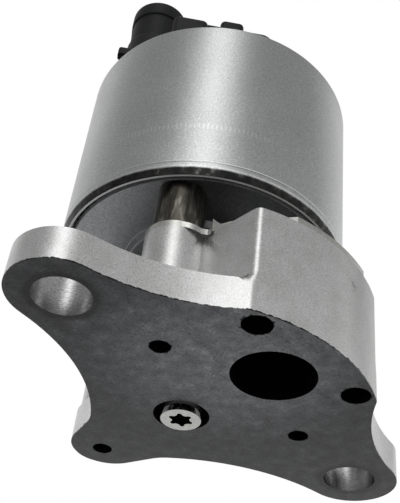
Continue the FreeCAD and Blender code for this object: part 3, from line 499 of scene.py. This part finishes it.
def zincPlatedSteel():
    # Deep drawn steel with satin zinc plate: soft bright bands and a very fine sparkling grain. The underside
    # of its rolled rim is drawn dark as painted shade, mottled with painted reflections, and a row of faint
    # press marks runs round the wall.
    v = zincValues
    material, tree, shader, place = newMaterial("satinZincPlate", {"Metallic": 1.0})
    spots = axesOf(tree, place)
    facing = axesOf(tree, addNode(tree, "ShaderNodeNewGeometry").outputs["True Normal"])["Z"]
    grain = noise(tree, place, v["grain"], detail=3.0, roughness=0.7)
    shadeMottle = noise(tree, place, v["shadeMottleGrain"], detail=5.0, roughness=0.65)
    # painted shade: what faces down on the roll is drawn dark, mottled with painted reflections
    low = spread(tree, spots["Z"], *(height * mm for height in v["rollTop"]))
    mottledFacing = mathOf(tree, "MULTIPLY_ADD", shadeMottle, v["shadeMottleWaver"], facing)
    under = between(tree, mottledFacing, *v["shadedFacing"], soft=0.09)
    colour = mixColours(tree, mathOf(tree, "MULTIPLY", under, low), tones(tree, grain, v["stops"]),
                        tones(tree, shadeMottle, v["paintedShadeTones"]))
    # painted shade in the groove above the roll
    inGroove = between(tree, spots["Z"], *(height * mm for height in v["groove"]), soft=0.08 * mm)
    share, grooveShadeTone = v["paintedGrooveShade"]
    colour = mixColours(tree, mathOf(tree, "MULTIPLY", inGroove, share), colour, linear(grooveShadeTone))
    # the roll's narrow foot is chafed, so it scatters light instead of mirroring the dark below
    foot = spread(tree, facing, *v["footFacing"])
    colour = mixColours(tree, foot, colour, linear(v["footColour"]))
    # a press mark is where the row, the arc and the marked part of each pitch meet
    way = mathOf(tree, "ARCTAN2", spots["Y"], spots["X"])
    row = between(tree, spots["Z"], *(height * mm for height in v["tickHeight"]), soft=0.2 * mm)
    arc = between(tree, way, *(math.radians(end) for end in v["tickWay"]), soft=0.05)
    part = mathOf(tree, "FRACT", mathOf(tree, "DIVIDE", way, math.radians(v["tickPitch"])))
    tick = between(tree, part, *v["tickPart"], soft=0.12)
    marked = mathOf(tree, "MULTIPLY", mathOf(tree, "MULTIPLY", row, arc), tick)
    share, mark = v["tickMark"]
    colour = mixColours(tree, mathOf(tree, "MULTIPLY", marked, share), colour, linear(mark))
    cloud = noise(tree, place, v["cloudGrain"], detail=3.0)
    link(tree, shader, {
        "Base Color": colour,
        "Metallic": spread(tree, foot, 0.0, 1.0, 1.0, v["footMetallic"]),
        "Roughness": spread(tree, cloud, *usualNoise, *v["roughness"]),
        "Normal": bump(tree, grain, strength=0.35, depthMm=0.03)})
    return material


def steel(name, stops, roughness, grainMm=0.4, stretch=(1, 1, 1), bumpMm=0.02, metallic=1.0, gloss=0.5):
    # a metal whose tone wanders along its working direction, with a fine bump of the same grain
    material, tree, shader, place = newMaterial(name, {
        "Metallic": metallic, "Roughness": roughness, "Specular IOR Level": gloss})
    grain = noise(tree, stretched(tree, place, stretch), grainMm, detail=3.0, roughness=0.6)
    link(tree, shader, {
        "Base Color": tones(tree, grain, stops),
        "Normal": bump(tree, grain, strength=0.3, depthMm=bumpMm)})
    return material


def plastic(name, stops, roughness, grainMm=0.5, bumpMm=0.02, gloss=0.5):
    # injection moulded, with the faint grain of an eroded mould
    return steel(name, stops, roughness, grainMm, bumpMm=bumpMm, metallic=0.0, gloss=gloss)


noseValues = {
    "front": -132,                 # degrees round from +X, the middle of the dark stretch, which faces the camera: painted shade
    "spread": (-0.05, 0.29),       # cosine of the way from there less the streaks, from the painted reflection to the dark tone
    "streakGrain": 0.9,            # mm
    "streakStretch": (1, 1, 0.12),      # draws the streaks out along the nose
    "streaks": -1.1,               # how far the streaks lower the cosine
    "paintedReflectionTone": "#fafaf8",
    "sootAndShadeTone": "#101010",
    "roughness": 0.30,
    "metallic": 0.1,
}


def streakedNose():
    # The ground nose's side, drawn as painted reflection: near white, and dark with soot streaks and painted
    # shade on the side that faces the camera.
    v = noseValues
    material, tree, shader, place = newMaterial("streakedShadedStainless", {
        "Metallic": v["metallic"], "Roughness": v["roughness"]})
    streak = noise(tree, stretched(tree, place, v["streakStretch"]), v["streakGrain"], detail=3.0)
    # painted shade and painted reflection: dark on the side toward the camera, near white round the rest
    uneven = mathOf(tree, "MULTIPLY_ADD", streak, v["streaks"], turnedTo(tree, place, v["front"]))
    sootAndShade = spread(tree, uneven, *v["spread"])
    link(tree, shader, {
        "Base Color": mixColours(tree, sootAndShade, linear(v["paintedReflectionTone"]), linear(v["sootAndShadeTone"])),
        "Normal": bump(tree, streak, strength=0.3, depthMm=0.02)})
    return material


# each simple one: two or three tones by grain, its roughness, its grain in mm and the grain's stretch
materials = {
    "casting": blastedCasting(),
    "sootAndShade": sootAndShadeHole(),
    "zinc": zincPlatedSteel(),
    "nose": streakedNose(),
    # drawn bar, blackened and oiled: dark brown grey with pale streaks that run along it
    "darkSteel": steel("oiledTurnedSteel", ((0.34, "#37352f"), (0.52, "#4e4c46"), (0.72, "#8b887f")), 0.29,
                       1.2, (1, 1, 0.22)),
    # the bolt holes' walls: rings left by the drill
    "drilled": steel("drilledCastIron", ((0.30, "#868686"), (0.70, "#bdbdbd")), 0.25, 0.5, (1, 1, 3)),
    # soft iron off the lathe, dull mid grey
    "polePlate": steel("turnedPureIron", ((0.30, "#77787a"), (0.70, "#9c9d9f")), 0.40, 0.35),
    # thin sheet as rolled, pale and a little soft
    "stainless": steel("stampedStainless", ((0.30, "#a6a6a2"), (0.70, "#c6c6c2")), 0.30, 0.5),
    # ground bright, the smoothest metal of the valve
    "pintle": steel("groundStainless", ((0.30, "#a3a3a0"), (0.70, "#c2c2bf")), 0.22, 0.3),
    # drawn wire, bright with a warm tinge
    "spring": steel("drawnSpringWire", ((0.30, "#8b8984"), (0.70, "#aaa8a3")), 0.30, 0.3),
    # phosphate coat: matt dark grey
    "screw": steel("phosphatedSteel", ((0.30, "#4a4b4b"), (0.70, "#646565")), 0.45, 0.4),
    # pressed powder metal: dull brown gold
    "bronze": steel("sinteredBronze", ((0.30, "#8a6a3c"), (0.70, "#a98550")), 0.48, 0.3),
    # enamelled wire in layers: red copper with lines round the coil
    "copper": steel("enamelledCopperWire", ((0.30, "#8d4a24"), (0.70, "#b0642f")), 0.30, 0.5, (0.1, 0.1, 1)),
    # tin over brass: pale warm silver
    "tinned": steel("tinnedBrass", ((0.30, "#b9b4a2"), (0.70, "#cfcab8")), 0.28, 0.3),
    # glass filled nylon: near black with a low sheen
    "blackNylon": plastic("glassFilledNylon", ((0.30, "#0b0c0c"), (0.70, "#121313")), 0.55, gloss=0.18),
    # unfilled nylon: dark grey and a little glossier
    "bobbinNylon": plastic("mouldedNylon", ((0.30, "#1c1c1c"), (0.70, "#2a2a2a")), 0.5),
    # natural acetal: cream white
    "paleAcetal": plastic("mouldedAcetal", ((0.30, "#cfc9b4"), (0.70, "#ddd8c6")), 0.4),
    # solder resist over glass laminate: deep green
    "board": plastic("glassLaminate", ((0.30, "#1d5b30"), (0.70, "#27703d")), 0.45),
    # moulded rubber: matt black
    "rubber": plastic("mouldedRubber", ((0.30, "#161616"), (0.70, "#202020")), 0.6),
}
print("materials made:", len(materials))


# pieces

finishes = {
    "base_casting": "casting", "valve_seat": "pintle", "shaft_bushing": "bronze",
    "gas_shield_plate": "stainless", "shaft_seal": "darkSteel", "seal_spring": "spring", "pintle": "pintle",
    "pintle_shaft": "pintle",
    "spacer_left": "darkSteel", "spacer_right": "darkSteel", "spacer_rear": "darkSteel",
    "base_screw_left": "screw", "base_screw_right": "screw", "base_screw_rear": "screw",
    "lower_pole_plate": "polePlate", "solenoid_can": "zinc", "armature_sleeve": "stainless",
    "armature": "polePlate", "upper_pole": "polePlate", "return_spring": "spring",
    "upper_flux_washer": "polePlate", "coil_bobbin": "bobbinNylon", "coil_winding": "copper",
    "sensor_cap": "blackNylon", "cap_seal_ring": "rubber", "sensor_base": "bobbinNylon",
    "sensor_board": "board", "sensor_plunger": "paleAcetal", "wiper_contact": "tinned",
    "plunger_spring": "spring",
    "coil_tab_left": "tinned", "coil_tab_right": "tinned", "terminal_1": "tinned", "terminal_2": "tinned",
    "terminal_3": "tinned", "terminal_4": "tinned", "terminal_5": "tinned",
}
for name, finish in finishes.items():
    slots = nodes[name].data.materials
    slots.clear()
    slots.append(materials[finish])


def addPiece(name, node, body, mesh):
    piece = bpy.data.objects.new(name, mesh)
    bpy.context.scene.collection.objects.link(piece)
    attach(piece, body)
    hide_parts(node)
    return piece


weldReach = 0.5e-6      # m, CAD points nearer than this become one


def weldedCopy(name, node, flatLimit=None):
    # A copy of a CAD node's mesh with its points joined up, and with its faces joined too where they turn
    # less than flatLimit degrees.
    mesh = nodes[node].data.copy()
    mesh.name = name
    work = bmesh.new()
    work.from_mesh(mesh)
    bmesh.ops.remove_doubles(work, verts=work.verts, dist=weldReach)
    if flatLimit is not None:
        bmesh.ops.dissolve_limit(work, angle_limit=math.radians(flatLimit), verts=work.verts,
                                 edges=work.edges, delimit={"SHARP"})
    work.to_mesh(mesh)
    work.free()
    mesh.shade_smooth()
    return mesh


edgeValues = {
    "flat": 0.4,             # degrees, faces that turn less than this become one
    "sharp": 32,             # degrees, edges that turn more than this are rounded
    "segments": 3,
    "largeFaces": 80,        # how much more the large faces' shading counts
    "rounded": {             # node: piece, body and width of the rounding in mm
        "base_casting": ("baseCasting", "valve_body", 0.35),
        "gas_shield_plate": ("gasShield", "valve_body", 0.12),
        "lower_pole_plate": ("polePlate", "valve_body", 0.15),
        "pintle": ("pintleHead", "pintle_group", 0.10),
    },
}


def edged(name, node, body, width):
    # a copy of a CAD node with its sharp edges rounded to the given width in mm
    v = edgeValues
    mesh = weldedCopy(name, node, v["flat"])
    mesh.set_sharp_from_angle(angle=math.radians(v["sharp"]))
    piece = addPiece(name, node, body, mesh)
    rounding = piece.modifiers.new("rounding", "BEVEL")
    rounding.width = width * mm
    rounding.segments = v["segments"]
    rounding.limit_method = "ANGLE"
    rounding.angle_limit = math.radians(v["sharp"])
    rounding.use_clamp_overlap = True
    rounding.miter_outer = "MITER_ARC"
    weighing = piece.modifiers.new("evenShading", "WEIGHTED_NORMAL")
    weighing.keep_sharp = False
    weighing.weight = v["largeFaces"]
    return piece


def roundedProfile(corners, steps=7):
    # Corners (radius, height, rounding) in mm become one closed line, each corner an arc tangent to its
    # sides: it starts rounding / tan(half the corner's angle) before the corner and ends as far behind it.
    points = []
    nearlyStraight = 1.56      # radians, half of a corner that needs no arc
    for index, (radius, height, rounding) in enumerate(corners):
        corner = np.array([radius, height], dtype=float)
        before = np.array(corners[index - 1][:2]) - corner
        behind = np.array(corners[(index + 1) % len(corners)][:2]) - corner
        before /= np.linalg.norm(before)
        behind /= np.linalg.norm(behind)
        half = math.acos(max(-1, min(1, float(before @ behind)))) / 2
        if rounding == 0 or half > nearlyStraight:
            points.append(corner)
            continue
        centre = corner + (before + behind) / np.linalg.norm(before + behind) * rounding / math.sin(half)
        start = corner + before * rounding / math.tan(half) - centre
        end = corner + behind * rounding / math.tan(half) - centre
        turn = math.atan2(start[0] * end[1] - start[1] * end[0], float(start @ end))
        angles = np.linspace(0, turn, steps)
        points.extend(centre + np.stack([start[0] * np.cos(angles) - start[1] * np.sin(angles),
                                         start[0] * np.sin(angles) + start[1] * np.cos(angles)], axis=1))
    return np.array(points)


def turnedPiece(name, node, body, finish, corners, centre=(0, 0), around=192, sharp=40):
    # a profile spun about the vertical line through centre: x = cx + r cos a, y = cy + r sin a
    line = roundedProfile(corners)
    angles = np.linspace(0, 2 * math.pi, around, endpoint=False)
    rings = np.stack([centre[0] + np.outer(np.cos(angles), line[:, 0]), centre[1] + np.outer(
        np.sin(angles), line[:, 0]), np.tile(line[:, 1], (around, 1))], axis=-1) * mm
    count = len(line)
    here = np.arange(around)[:, None] * count + np.arange(count)
    ahead = np.roll(here, -1, axis=0)
    faces = np.stack([here, ahead, np.roll(ahead, -1, axis=1), np.roll(here, -1, axis=1)], axis=-1)
    mesh = bpy.data.meshes.new(name)
    mesh.from_pydata(rings.reshape(-1, 3).tolist(), [], faces.reshape(-1, 4).tolist())
    mesh.materials.append(materials[finish])
    mesh.shade_smooth()
    mesh.set_sharp_from_angle(angle=math.radians(sharp))
    return addPiece(name, node, body, mesh)


canValues = {                          # all in mm, and a corner is (radius, height, rounding)
    "radius": 28.5,
    "bottom": 33.1,
    "top": 75.7,
    "wall": 1.2,
    "topRounding": 0.6,
    "lipRadius": 25.5,                 # the opening in the top, which holds the cap
    "rollFoot": 27.82,                 # where the rolled rim leaves its flat foot
    "rollShoulder": (28.50, 34.72, 2.2),
    "rollTop": (28.52, 35.66, 0.3),
    "groove": (28.44, 36.0, 0.06),
    "grooveEnd": (28.50, 36.20, 0.1),  # where the wall starts, above the groove
}


def makeCan():
    v = canValues
    inner = v["radius"] - v["wall"]
    underTop = v["top"] - v["wall"]
    return turnedPiece("can", "solenoid_can", "valve_body", "zinc", (
        (inner, v["bottom"], 0.1), (v["rollFoot"], v["bottom"], 0.15), v["rollShoulder"], v["rollTop"],
        v["groove"], v["grooveEnd"], (v["radius"], v["top"], v["topRounding"]),
        (v["lipRadius"], v["top"], 0.15), (v["lipRadius"], underTop, 0.1), (inner, underTop, 0.3)),
        around=256)


pieces = {}
for node, (name, body, width) in edgeValues["rounded"].items():
    pieces[name] = edged(name, node, body, width)
pieces["can"] = makeCan()


capValues = {                                      # all in mm but the turn
    "turn": 52.0,                                  # degrees about the axis
    "spigot": (27.1, 71.2, 74.15, 0.3),            # radius, bottom, top and edge rounding
    "deck": (25.2, 71.3, 79.8, 0.9),
    "housing": (-19.0, 18.0, -9.0, 14.0, 88.5, 3.0, 1.1),     # two x, two y, top, corner and edge rounding
    "ribs": ((-20.8, 0.0, 6.3, 14.0, 87.3, 1.3, 1.2), (-20.8, 0.0, -1.6, 3.6, 88.4, 1.1, 1.0)),
    "tab": (-12.6, -10.4, 16.0, 25.1, 80.8, 83.1, 0.6, 0.45),
    "shroudSide": 17.5,                            # from the axis to the middle of the shroud
    "foot": (27.4, 12.5, 89.0, 0.9),               # length, width, top and edge rounding
    "neck": (26.7, 11.8),                          # length and width
    "collar": (27.4, 12.5, 96.5, 100.3, 0.7),      # length, width, bottom, top and edge rounding
    "collarStep": 0.5,
    "wall": 1.5,
    "mouthRounding": 0.35,
    "floor": 84.0,
    "floorRounding": 0.3,
    "base": 71.3,
}


quarter = np.linspace(0, math.pi / 2, 5)      # the stations of a rounded edge's quarter turn


def blockLine(left, right, front, back, corner, inset=0.0, steps=7):
    # a rectangle with round corners, drawn inset from its full size, whose corners never close entirely
    turns = np.linspace(0, math.pi / 2, steps)
    radius = max(corner - inset, 0.02)
    reach = inset + radius
    places = ((right - reach, back - reach, 0), (left + reach, back - reach, 1),
              (left + reach, front + reach, 2), (right - reach, front + reach, 3))
    return np.concatenate([np.stack([x + radius * np.cos(turns + count * math.pi / 2),
                                     y + radius * np.sin(turns + count * math.pi / 2)], axis=1)
                           for x, y, count in places])


def roundLine(radius, inset=0.0, around=128):
    turns = np.linspace(0, 2 * math.pi, around, endpoint=False)
    return np.stack([(radius - inset) * np.cos(turns), (radius - inset) * np.sin(turns)], axis=1)


def stadiumLine(length, width, side, inset=0.0):
    # a slot outline with its long sides along x, side away from the axis, whose ends are all but half round
    corner = width / 2 - 0.01
    return blockLine(-length / 2, length / 2, side - width / 2, side + width / 2, corner, inset, steps=15)


def raised(line, sizes, bottom, top, edge):
    # Rings of an upright block: straight up to the rounded edge, then inset edge * (1 - cos t) at
    # top - edge * (1 - sin t).
    rings = [(line(*sizes), bottom)]
    for t in quarter:
        rings.append((line(*sizes, inset=edge * (1 - math.cos(t))), top - edge * (1 - math.sin(t))))
    return rings


def shroudRings():
    # The shroud goes up outside its neck, out round the collar, over its mouth and down inside to the floor.
    # Each bend is a quarter turn t: out by growth * sin t under the collar, in by edge * (1 - cos t) at its
    # top, and down by mouthRounding * sin t inside the mouth.
    v = capValues
    neck = (*v["neck"], v["shroudSide"])
    collarLength, collarWidth, collarBottom, mouth, edge = v["collar"]
    collar = (collarLength, collarWidth, v["shroudSide"])
    growth = (collarWidth - v["neck"][1]) / 2
    rings = [(stadiumLine(*neck), v["base"]), (stadiumLine(*neck), collarBottom - v["collarStep"])]
    for t in quarter:
        rings.append((stadiumLine(*neck, inset=-growth * math.sin(t)),
                      collarBottom - v["collarStep"] * math.cos(t)))
    for t in quarter:
        rings.append((stadiumLine(*collar, inset=edge * (1 - math.cos(t))), mouth - edge * (1 - math.sin(t))))
    for t in quarter:
        rings.append((stadiumLine(*neck, inset=v["wall"] - v["mouthRounding"] * math.cos(t)),
                      mouth - v["mouthRounding"] * math.sin(t)))
    rings.append((stadiumLine(*neck, inset=v["wall"]), v["floor"] + v["floorRounding"]))
    rings.append((stadiumLine(*neck, inset=v["wall"] + v["floorRounding"]), v["floor"]))
    return rings


def ringsToMesh(name, stacks, turn, sharp=35):
    # each stack of rings becomes a skin closed by a face at both ends, and the stacks make one mesh
    points, faces = [], []
    for rings in stacks:
        start = sum(len(part) for part in points)
        count = len(rings[0][0])
        for line, height in rings:
            points.append(np.column_stack([line, np.full(count, height)]))
        order = start + np.arange(len(rings) * count).reshape(len(rings), count)
        ahead = np.roll(order, -1, axis=1)
        sides = np.stack([order[:-1], ahead[:-1], ahead[1:], order[1:]], axis=-1)
        faces.extend(sides.reshape(-1, 4).tolist())
        faces.append(order[0][::-1].tolist())
        faces.append(order[-1].tolist())
    points = np.concatenate(points)
    # turned about the axis: x cos a - y sin a, x sin a + y cos a
    cosine, sine = math.cos(math.radians(turn)), math.sin(math.radians(turn))
    turned = np.column_stack([points[:, 0] * cosine - points[:, 1] * sine,
                              points[:, 0] * sine + points[:, 1] * cosine, points[:, 2]])
    mesh = bpy.data.meshes.new(name)
    mesh.from_pydata((turned * mm).tolist(), [], faces)
    mesh.shade_smooth()
    mesh.set_sharp_from_angle(angle=math.radians(sharp))
    return mesh


def makeCap():
    # The cap is moulded in one: a deck on its spigot, the sensor's housing with two ribs, and the connector's
    # upright oval shroud with its collar, foot and tab.
    v = capValues
    stacks = []
    for radius, bottom, top, edge in (v["spigot"], v["deck"]):
        stacks.append(raised(roundLine, (radius,), bottom, top, edge))
    for left, right, front, back, top, corner, edge in (v["housing"], *v["ribs"]):
        stacks.append(raised(blockLine, (left, right, front, back, corner), v["base"], top, edge))
    left, right, front, back, bottom, top, corner, edge = v["tab"]
    stacks.append(raised(blockLine, (left, right, front, back, corner), bottom, top, edge))
    length, width, top, edge = v["foot"]
    stacks.append(raised(stadiumLine, (length, width, v["shroudSide"]), v["base"], top, edge))
    stacks.append(shroudRings())
    mesh = ringsToMesh("sensorCap", stacks, v["turn"])
    mesh.materials.append(materials["blackNylon"])
    return addPiece("sensorCap", "sensor_cap", "valve_body", mesh)


pieces["sensorCap"] = makeCap()


spacerValues = {             # mm
    "bore": 2.35,
    "radius": 4.66,
    "bottom": 22.7,
    "top": 33.4,
    "rounding": 0.75,
    "boreRounding": 0.2,
    "places": {"left": (-17.52, -12.63), "right": (17.52, -12.63), "rear": (0.0, 21.6)},
}


def makeSpacer(side):
    v = spacerValues
    return turnedPiece(side + "Spacer", "spacer_" + side, "valve_body", "darkSteel", (
        (v["bore"], v["bottom"], v["boreRounding"]), (v["radius"], v["bottom"], v["rounding"]),
        (v["radius"], v["top"], v["rounding"]), (v["bore"], v["top"], v["boreRounding"])),
        centre=v["places"][side], around=96)


for side in spacerValues["places"]:
    pieces[side + "Spacer"] = makeSpacer(side)


def readPoints(mesh):
    points = np.zeros(len(mesh.vertices) * 3)
    mesh.vertices.foreach_get("co", points)
    return points.reshape(-1, 3) / mm


def writePoints(mesh, points):
    mesh.vertices.foreach_set("co", (points * mm).ravel())
    mesh.update()


pintleValues = {                # mm, but for the turn and the growth
    "endEdge": (2.9, 0.2),      # the least radius and the greatest height of the nose's end edge in the CAD
    "side": (3.7, 3.8),         # the radii between which its side lies
    "faceRadius": 3.70,
    "noseRadius": 3.80,
    "proud": 1.07,              # how far the end goes down from where the CAD has it
    "socketTurn": 38.0,         # degrees that the six-lobe socket is turned
    "socketReach": 2.5,         # what lies nearer to the axis is the socket
    "socketTop": 3.0,           # and below this height
    "socketGrowth": 1.10,
}


def shapeNose(piece):
    # The nose's end is turned square and stands a little proud of the mounting face: its end corner goes out
    # to faceRadius, its side to noseRadius, and all of the end goes down. The socket grows and turns.
    v = pintleValues
    points = readPoints(piece.data)
    reach = np.hypot(points[:, 0], points[:, 1])
    end = points[:, 2] < v["endEdge"][1]
    corner = end & (reach > v["endEdge"][0])
    side = (reach > v["side"][0]) & (reach < v["side"][1])
    points[corner, :2] *= (v["faceRadius"] / reach[corner])[:, None]
    points[side, :2] *= (v["noseRadius"] / reach[side])[:, None]
    points[end, 2] -= v["proud"]
    points[(reach < v["socketReach"]) & (points[:, 2] < v["socketTop"]), :2] *= v["socketGrowth"]
    cosine, sine = math.cos(math.radians(v["socketTurn"])), math.sin(math.radians(v["socketTurn"]))
    points[:, :2] = points[:, :2] @ np.array([[cosine, sine], [-sine, cosine]])
    writePoints(piece.data, points)


shapeNose(pieces["pintleHead"])


shieldValues = {
    "lobes": ((-17.52, -12.63, 1), (17.52, -12.63, -1)),    # x, y and mirror sign of the front screw bosses
    "sector": (-118, -52),       # degrees round the boss where the edge hangs over
    "reach": (4.5, 7.6),         # mm from the boss's axis
    "overhang": 0.85,            # mm
    "dip": 0.55,                 # mm
    "fullness": 0.7,             # below 1 the bulge is fuller than a sine's
}


def hangShield(piece):
    # The stamped edge hangs over the casting between each front boss and the tower, and dips there: a point
    # goes out by overhang * w and down by dip * w, with w = sin(pi * its part of the sector) ^ fullness.
    v = shieldValues
    points = readPoints(piece.data)
    nearest, farthest = v["reach"]
    low, high = v["sector"]
    for x, y, sign in v["lobes"]:
        away = (points[:, :2] - (x, y)) * (sign, 1)
        reach = np.hypot(away[:, 0], away[:, 1])
        way = np.degrees(np.arctan2(away[:, 1], away[:, 0]))
        part = np.clip((way - low) / (high - low), 0, 1)
        weight = np.sin(np.pi * part) ** v["fullness"] * (reach > nearest) * (reach < farthest)
        outward = away / np.maximum(reach, 1)[:, None] * (sign, 1)
        points[:, :2] += outward * (weight * v["overhang"])[:, None]
        points[:, 2] -= weight * v["dip"]
    writePoints(piece.data, points)


hangShield(pieces["gasShield"])


springValues = {
    "springs": {"returnSpring": "return_spring", "plungerSpring": "plunger_spring"},
    "travel": 4.0 * mm,          # the pintle's full lift
}


def makeSpring(name, node):
    # A copy of a CAD spring, whose upper end is fixed, with a mesh of its own.
    piece = addPiece(name, node, "valve_body", weldedCopy(name, node))
    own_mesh(piece)
    return piece


for name, node in springValues["springs"].items():
    pieces[name] = makeSpring(name, node)
print("pieces made:", len(pieces))


# finishes on parts of a piece

wallMargin = 0.05                # mm that a faceted hole's wall may lie outside its radius
holeValues = {                   # holes are x, y and radius, and all is in mm
    "holes": ((0, 0, 7.2), (0, -11, 7.0), (0, -21.9, 7.43), (12.6, -29.4, 2.6), (-12.6, -29.4, 2.6),
              (17.52, -12.63, 1.85), (-17.52, -12.63, 1.85), (0, 21.6, 1.85)),
    "from": 0.2,
    "to": 21.0,
}
boltHoleValues = {"holes": ((36.1, -10.0, 4.95), (-36.1, -10.0, 4.95)), "from": 0.2, "to": 7.6}
socketValues = {"holes": ((0, 0, 2.4),), "from": 0.22, "to": 2.6}
noseSideValues = {
    "radii": (3.4, 4.2),
    "to": 2.8,
    "steep": 0.5,                # how far up or down a face may look and still be the side
}


def readFaces(mesh, name):
    values = np.zeros(len(mesh.polygons) * 3)
    mesh.polygons.foreach_get(name, values)
    return values.reshape(-1, 3)


def finishFaces(mesh, chosen, finish):
    # the chosen faces take the finish, in a slot of its own
    mesh.materials.append(materials[finish])
    slots = np.zeros(len(mesh.polygons), dtype=np.int32)
    mesh.polygons.foreach_get("material_index", slots)
    slots[chosen] = len(mesh.materials) - 1
    mesh.polygons.foreach_set("material_index", slots)


def finishHoles(piece, finish, values):
    # faces whose middle is within a hole's radius of its axis, between two heights, take the finish
    middles = readFaces(piece.data, "center") / mm
    inside = np.zeros(len(middles), dtype=bool)
    for x, y, radius in values["holes"]:
        inside |= np.hypot(middles[:, 0] - x, middles[:, 1] - y) < radius + wallMargin
    inside &= (middles[:, 2] > values["from"]) & (middles[:, 2] < values["to"])
    finishFaces(piece.data, inside, finish)


def finishSide(piece, finish, values):
    # steep faces whose middle lies between two radii and below a height take the finish
    middles = readFaces(piece.data, "center") / mm
    reach = np.hypot(middles[:, 0], middles[:, 1])
    steep = np.abs(readFaces(piece.data, "normal")[:, 2]) < values["steep"]
    least, most = values["radii"]
    chosen = steep & (reach > least) & (reach < most) & (middles[:, 2] < values["to"])
    finishFaces(piece.data, chosen, finish)


# soot and painted shade: the ports and small holes are drawn black
finishHoles(pieces["baseCasting"], "sootAndShade", holeValues)
finishHoles(pieces["baseCasting"], "drilled", boltHoleValues)
# painted shade: the pintle's six-lobe socket is drawn black for its depth
finishHoles(pieces["pintleHead"], "sootAndShade", socketValues)
finishSide(pieces["pintleHead"], "nose", noseSideValues)
print("holes finished")
